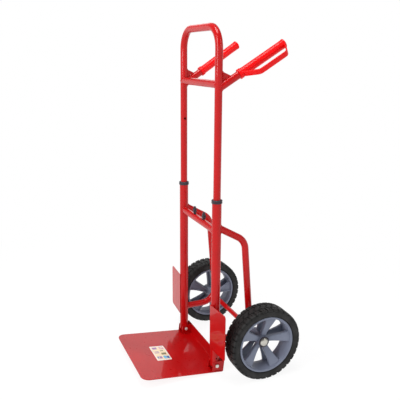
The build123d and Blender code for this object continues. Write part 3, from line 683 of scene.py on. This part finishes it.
def add_collars():
    for side_name, side in SIDES.items():
        low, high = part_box("collar_" + side_name)
        r = (high.x - low.x) / 2
        top, tube_top = high.z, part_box("outer_tube_" + side_name)[1].z
        foot = top - COLLAR_HEIGHT
        bore = INNER_R + 0.0003
        profile = [
            (low.z, bore),
            (low.z, OUTER_R - 0.0016),
            (tube_top, OUTER_R - 0.0016),
            (tube_top, OUTER_R + 0.0001),
            (foot, OUTER_R + 0.0001),
            (foot, r - 0.0008),
            (foot + 0.0008, r),
            (foot + 0.0038, r),
            (foot + 0.0046, r - 0.0012),
            (foot + 0.0060, r - 0.0012),
            (foot + 0.0068, r),
            (top - 0.0022, r),
            (top - 0.0008, r - 0.0010),
            (top, r - 0.0026),
            (top, bore + 0.0008),
            (top - 0.0008, bore),
        ]
        shape = turned(profile, Vector((side * UPRIGHT_X, 0, 0)), Z)
        collar = piece(f"collar_ring_{side_name}", "frame", "black_plastic", shape)
        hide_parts(f"collar_{side_name}")


KNOB_X = 0.042


def add_knobs():
    """Finger knobs: waisted posts with ribbed heads, on a slider inside the crossbar."""
    for side_name, side in SIDES.items():
        body = "release_" + side_name
        low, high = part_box("release_knob_" + side_name)
        x = side * KNOB_X
        # height and width of each square section of the post
        stations = in_mm([
            (523.5, 7.6), (540.6, 7.6), (541.0, 11.0), (541.8, 12.0), (544.6, 12.0), (545.0, 11.2),
            (545.8, 11.2), (546.2, 12.0), (549.0, 12.0), (549.4, 11.2), (550.2, 11.2), (550.6, 12.0),
            (553.4, 12.0), (554.5, 10.4), (554.8, 7.8), (561.4, 7.8), (562.6, 6.8), (563.0, 5.2),
        ])
        rings = []
        for z, width in stations:
            rings.append([Vector((x + a, b, z)) for a, b in rounded(width, width, 0.0016)])
        slider_x = sorted((abs(low.x), abs(high.x)))
        slider = in_mm([(0.0, 4.0), (0.0, 9.8), (0.8, 10.6), (23.2, 10.6), (24.0, 9.8), (24.0, 4.0)])
        slider = [(slider_x[0] + a, r) for a, r in slider]
        inside = turned(slider, Z * LOWER_BAR_Z, side * X, 48)
        knob = piece(f"finger_knob_{side_name}", body, "black_plastic", joined(loft(rings), inside))
        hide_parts(f"release_knob_{side_name}")


SPRING_WIRE_R = 0.0006
SPRING_TURNS = 8
SPRING_STEPS = 24  # sections to a turn
WIRE_SIDES = 8


def add_springs():
    """Coil springs behind the sliders."""
    for side_name, side in SIDES.items():
        low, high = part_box("release_spring_" + side_name)
        near, far = sorted((abs(low.x), abs(high.x)))
        coil_r = (high.z - low.z) / 2 - SPRING_WIRE_R
        first = near + SPRING_WIRE_R
        run = far - near - 2 * SPRING_WIRE_R
        steps = SPRING_TURNS * SPRING_STEPS
        section = [2 * pi * k / WIRE_SIDES for k in range(WIRE_SIDES)]
        rings = []
        for i in range(steps + 1):
            t = 2 * pi * SPRING_TURNS * i / steps
            radial = Y * cos(t) + Z * sin(t)
            centre = Z * LOWER_BAR_Z + X * side * (first + run * i / steps) + radial * coil_r
            rings.append([centre + (radial * cos(a) + X * sin(a)) * SPRING_WIRE_R for a in section])
        spring = piece(f"coil_spring_{side_name}", "frame", "zinc_steel", loft(rings), crease=60)
        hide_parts(f"release_spring_{side_name}")
        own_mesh(spring)


def smooth_path(points, radius, arc_steps=6):
    """Polyline with its corners rounded by quadratic bends."""
    path = [points[0]]
    for before, corner, after in zip(points, points[1:], points[2:]):
        start = corner + (before - corner).normalized() * radius
        end = corner + (after - corner).normalized() * radius
        for i in range(arc_steps + 1):
            t = i / arc_steps
            path.append(start * (1 - t) ** 2 + corner * (2 * t * (1 - t)) + end * t * t)
    return path + [points[-1]]


def add_grips():
    """Sleeve and the knuckle guard that springs from it."""
    for side_name, side in SIDES.items():
        along, across, outwards = handle_axes(side)
        width_way = along.cross(outwards).normalized()
        base = Vector((side * UPRIGHT_X, 0, HANDLE_Z))
        bore = INNER_R + 0.0002
        start, end = GRIP_START, GRIP_END
        sleeve = [
            (start, bore), (start, 0.0158), (start + 0.0010, 0.0170), (start + 0.0040, 0.0170),
            (start + 0.0052, 0.0158), (start + 0.0066, 0.0158), (start + 0.0078, 0.0168),
            (start + 0.0104, 0.0168), (start + 0.0124, 0.0150), (start + 0.0200, 0.0146),
            (end - 0.0300, 0.0146), (end - 0.0060, 0.0150), (end - 0.0040, 0.0158), (end - 0.0012, 0.0158),
            (end, 0.0148), (end, 0.0), (end - 0.0036, 0.0), (end - 0.0036, bore),
        ]
        tube = turned(sleeve, base, along, 72)
        corners = [
            (start + 0.012, GUARD_ROOT), (start + 0.050, GUARD_REACH),
            (end - 0.026, GUARD_REACH), (end - 0.003, GUARD_ROOT),
        ]
        path = smooth_path([base + along * s + outwards * h for s, h in corners], GUARD_BEND_R)
        rings = []
        for i, p in enumerate(path):
            tangent = (path[min(i + 1, len(path) - 1)] - path[max(i - 1, 0)]).normalized()
            thick_way = tangent.cross(width_way).normalized()
            flare = 1.0 + 0.22 * max(0.0, 1 - min(i, len(path) - 1 - i) / 2)
            outline = rounded(STRAP_WIDTH, STRAP_THICKNESS * flare, 0.0019)
            rings.append([p + width_way * a + thick_way * b for a, b in outline])
        grip = piece(f"grip_moulding_{side_name}", "handle", "grip_plastic", joined(tube, loft(rings)))
        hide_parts(f"grip_{side_name}")


# ---- fasteners and the sticker ------------------------------------------------------------------
def hexagon(centre, axis, reach, height):
    """Hexagonal head with a turned chamfer and a slightly raised washer face."""
    u, v = square_to(axis)
    apothem = reach * cos(pi / 6)
    turns = [2 * pi * k / 48 for k in range(48)]

    def ring(radius_of, height_of):
        points = []
        for t in turns:
            r = radius_of(t)
            points.append(centre + axis * height_of(r) + (u * cos(t) + v * sin(t)) * r)
        return points

    def hexagon_r(t):
        return apothem / cos((t + pi / 6) % (pi / 3) - pi / 6)

    def edge_height(r):
        return height - max(0.0, r - apothem * 0.985) * tan(radians(32))

    rings = [
        ring(lambda t: apothem * 0.95, lambda r: 0.0),
        ring(lambda t: apothem * 0.97, lambda r: 0.0004),
        ring(hexagon_r, lambda r: 0.0005),
        ring(hexagon_r, edge_height),
        ring(lambda t: apothem * 0.96, lambda r: height),
        ring(lambda t: apothem * 0.60, lambda r: height - 0.00015),
    ]
    return loft(rings)


def add_fasteners():
    centre = Vector((0, 0, PIVOT_Z))
    for side_name, side in SIDES.items():
        low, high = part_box("pivot_bolt_" + side_name)
        tail, head_top = sorted((abs(low.x), abs(high.x)))
        reach = (high.y - low.y) / 2
        head_height = 0.0053
        shank_r = 0.0040
        shank = [(tail, 0.0), (tail, shank_r - 0.0008)]
        turns, pitch = 12, 0.00125
        for k in range(turns):
            a = tail + 0.0006 + pitch * k
            shank += [(a, shank_r - 0.0006), (a + pitch / 2, shank_r)]
        shank += [(tail + 0.0006 + pitch * turns, shank_r), (head_top - head_height, shank_r)]
        shank += [(head_top - head_height, 0.0)]
        head = hexagon(centre + side * X * (head_top - head_height), side * X, reach, head_height)
        shape = joined(turned(shank, centre, side * X, 40), head)
        bolt = piece(f"hex_bolt_{side_name}", "frame", "zinc_steel", shape, crease=28)
        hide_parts(f"pivot_bolt_{side_name}")

        low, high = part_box("pivot_nut_" + side_name)
        nut_end, face = sorted((abs(low.x), abs(high.x)))
        nut = hexagon(centre + side * X * face, -side * X, reach, 0.0065)
        nut_piece = piece(f"lock_nut_{side_name}", "frame", "zinc_steel", nut, crease=28)
        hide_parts(f"pivot_nut_{side_name}")
        collar = [(face - 0.0064, shank_r), (face - 0.0064, 0.0056), (nut_end + 0.0006, 0.0056),
                  (nut_end, 0.0050), (nut_end, shank_r)]
        ring = turned(collar, centre, side * X, 40)
        piece(f"nut_insert_{side_name}", "frame", "zinc_steel", ring, NYLON)


def plate_block(x0, x1, v0, v1, w0, w1, radius):
    """Thin rounded block lying on the toe plate."""
    cx, cv = (x0 + x1) / 2, (v0 + v1) / 2
    outline = rounded(x1 - x0, v1 - v0, radius)
    return loft([[toe_point(cx + a, cv + b, w) for a, b in outline] for w in (w0, w1)])


def add_sticker():
    """Sticker with a generic layout of coloured blocks and no lettering."""
    length, width = 0.105, 0.056
    x0, v0 = 0.002 - length / 2, -0.153 - width / 2
    base, top = TOE_TOP, TOE_TOP + 0.0004
    film = plate_block(x0, x0 + length, v0, v0 + width, base, top, 0.003)
    sheet = piece("sticker_film", "toe", "label_film", film)
    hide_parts("toe_label")
    # colour, then the block's two ends along x and along v as shares of the sticker
    blocks = [
        ("cream", 0.05, 0.95, 0.06, 0.94),
        ("lilac", 0.08, 0.22, 0.14, 0.44),
        ("pink", 0.06, 0.24, 0.62, 0.66),
        ("pink", 0.06, 0.24, 0.86, 0.90),
        ("lilac", 0.06, 0.10, 0.66, 0.86),
        ("lilac", 0.20, 0.24, 0.66, 0.86),
        ("olive", 0.33, 0.38, 0.56, 0.78),
        ("lilac", 0.38, 0.42, 0.14, 0.44),
        ("lilac", 0.46, 0.50, 0.14, 0.44),
        ("olive", 0.50, 0.63, 0.54, 0.86),
        ("sky", 0.70, 0.90, 0.54, 0.74),
        ("blue", 0.73, 0.90, 0.76, 0.92),
        ("blue", 0.73, 0.86, 0.12, 0.22),
        ("lilac", 0.73, 0.88, 0.26, 0.44),
    ]
    for i, (colour, xa, xb, va, vb) in enumerate(blocks):
        lift = 0.00002 if colour == "cream" else 0.00005
        ends_x = (x0 + length * xa, x0 + length * xb)
        ends_v = (v0 + width * va, v0 + width * vb)
        shape = plate_block(*ends_x, *ends_v, top - 0.0001, top + lift, 0.0006)
        piece(f"sticker_block_{i}", "toe", "label_film", shape, PRINT[colour])


# ---- carried-over CAD nodes ---------------------------------------------------------------------
def paint_nodes():
    """Every CAD node takes the procedural material of its own slot."""
    for entry in frame["record"]["subparts"]:
        node = frame["nodes"][entry["node"]]
        node.data.materials.clear()
        node.data.materials.append(MATERIALS[entry["material_slot"]])


# ---- stage: floor, light and camera -------------------------------------------------------------
def add_floor():
    """Large pale floor."""
    reach = 30.0
    mesh = bpy.data.meshes.new("floor")
    corners = [(-reach, -reach, 0), (reach, -reach, 0), (reach, reach, 0), (-reach, reach, 0)]
    mesh.from_pydata(corners, [], [(0, 1, 2, 3)])
    material, tree, shader = new_material("floor", Specular_IOR_Level=0.1, Emission_Strength=0.30)
    shader.inputs["Emission Color"].default_value = (1, 1, 1, 1)
    tone = ramp(tree, noise(tree, 1.5, 2.0), shades((0.86, 0.86, 0.86), 0.01))
    tree.links.new(tone, shader.inputs["Base Color"])
    tree.links.new(map_range(tree, noise(tree, 3.0, 2.0), 0.85, 0.95), shader.inputs["Roughness"])
    place = tree.nodes.new("ShaderNodeNewGeometry")
    distance = tree.nodes.new("ShaderNodeVectorMath")
    distance.operation = "LENGTH"
    fade = tree.nodes.new("ShaderNodeMapRange")
    fade.interpolation_type = "SMOOTHSTEP"
    fade.inputs["From Min"].default_value = 0.5
    fade.inputs["From Max"].default_value = 1.7
    fade.inputs["To Min"].default_value = 0.85
    glow = tree.nodes.new("ShaderNodeEmission")
    mix = tree.nodes.new("ShaderNodeMixShader")
    output = tree.nodes["Material Output"]
    tree.links.new(place.outputs["Position"], distance.inputs[0])
    tree.links.new(distance.outputs["Value"], fade.inputs["Value"])
    tree.links.new(fade.outputs["Result"], mix.inputs["Fac"])
    tree.links.new(shader.outputs["BSDF"], mix.inputs[1])
    tree.links.new(glow.outputs["Emission"], mix.inputs[2])
    tree.links.new(mix.outputs["Shader"], output.inputs["Surface"])
    mesh.materials.append(material)
    floor = bpy.data.objects.new("floor", mesh)
    floor.location.z = -0.0004
    bpy.context.scene.collection.objects.link(floor)


def add_world():
    """White surroundings that dim towards the ceiling."""
    world = bpy.data.worlds.new("studio")
    world.use_nodes = True
    tree = world.node_tree
    coordinates = tree.nodes.new("ShaderNodeTexCoord")
    split = tree.nodes.new("ShaderNodeSeparateXYZ")
    level = tree.nodes.new("ShaderNodeMapRange")
    level.interpolation_type = "SMOOTHSTEP"
    level.inputs["From Min"].default_value = 0.12
    level.inputs["From Max"].default_value = 0.32
    level.inputs["To Min"].default_value = 1.0
    level.inputs["To Max"].default_value = 0.30
    tree.links.new(coordinates.outputs["Generated"], split.inputs["Vector"])
    tree.links.new(split.outputs["Z"], level.inputs["Value"])
    tree.links.new(level.outputs["Result"], tree.nodes["Background"].inputs["Strength"])
    tree.nodes["Background"].inputs["Color"].default_value = (1, 1, 1, 1)
    bpy.context.scene.world = world


def add_softbox(name, place, target, width, height, power):
    """Area light aimed at a point."""
    data = bpy.data.lights.new(name, "AREA")
    data.shape = "RECTANGLE"
    data.size, data.size_y = width, height
    data.energy = power
    light = bpy.data.objects.new(name, data)
    light.location = place
    light.visible_camera = False
    light.rotation_mode = "QUATERNION"
    light.rotation_quaternion = (Vector(target) - Vector(place)).to_track_quat("-Z", "Y")
    bpy.context.scene.collection.objects.link(light)


CAMERA_PLACE = Vector((1.7536, -0.7437, 1.0936))
CAMERA_AZIMUTH = radians(66.94)
CAMERA_PITCH = radians(14.61)
CAMERA_ROLL = radians(0.38)
CAMERA_LENS = 49.54


def add_camera():
    forward = Vector((
        -sin(CAMERA_AZIMUTH) * cos(CAMERA_PITCH),
        cos(CAMERA_AZIMUTH) * cos(CAMERA_PITCH),
        -sin(CAMERA_PITCH),
    ))
    level = Vector((cos(CAMERA_AZIMUTH), sin(CAMERA_AZIMUTH), 0))
    upward = level.cross(forward)
    right = level * cos(CAMERA_ROLL) + upward * sin(CAMERA_ROLL)
    up = upward * cos(CAMERA_ROLL) - level * sin(CAMERA_ROLL)
    data = bpy.data.cameras.new("camera")
    data.sensor_width = 36.0
    data.lens = CAMERA_LENS
    camera = bpy.data.objects.new("camera", data)
    turn = Matrix((right, up, -forward)).transposed()
    camera.matrix_world = Matrix.Translation(CAMERA_PLACE) @ turn.to_4x4()
    bpy.context.scene.collection.objects.link(camera)
    bpy.context.scene.camera = camera


paint_nodes()
add_welds()
add_wheels()
add_collars()
add_knobs()
add_springs()
add_grips()
add_fasteners()
add_sticker()
add_floor()
add_world()
add_softbox("key", (0.9, -2.6, 2.0), (0, 0, 0.6), 1.0, 2.4, 60)
add_softbox("fill", (2.4, 2.0, 2.4), (0, 0, 0.6), 0.6, 2.0, 18)
add_softbox("top", (0.2, -0.3, 3.4), (0, 0, 0.0), 1.2, 1.2, 45)
add_softbox("card", (-3.2, 0.75, 2.2), (0, 0, 0.1), 1.8, 2.2, 16)
add_camera()
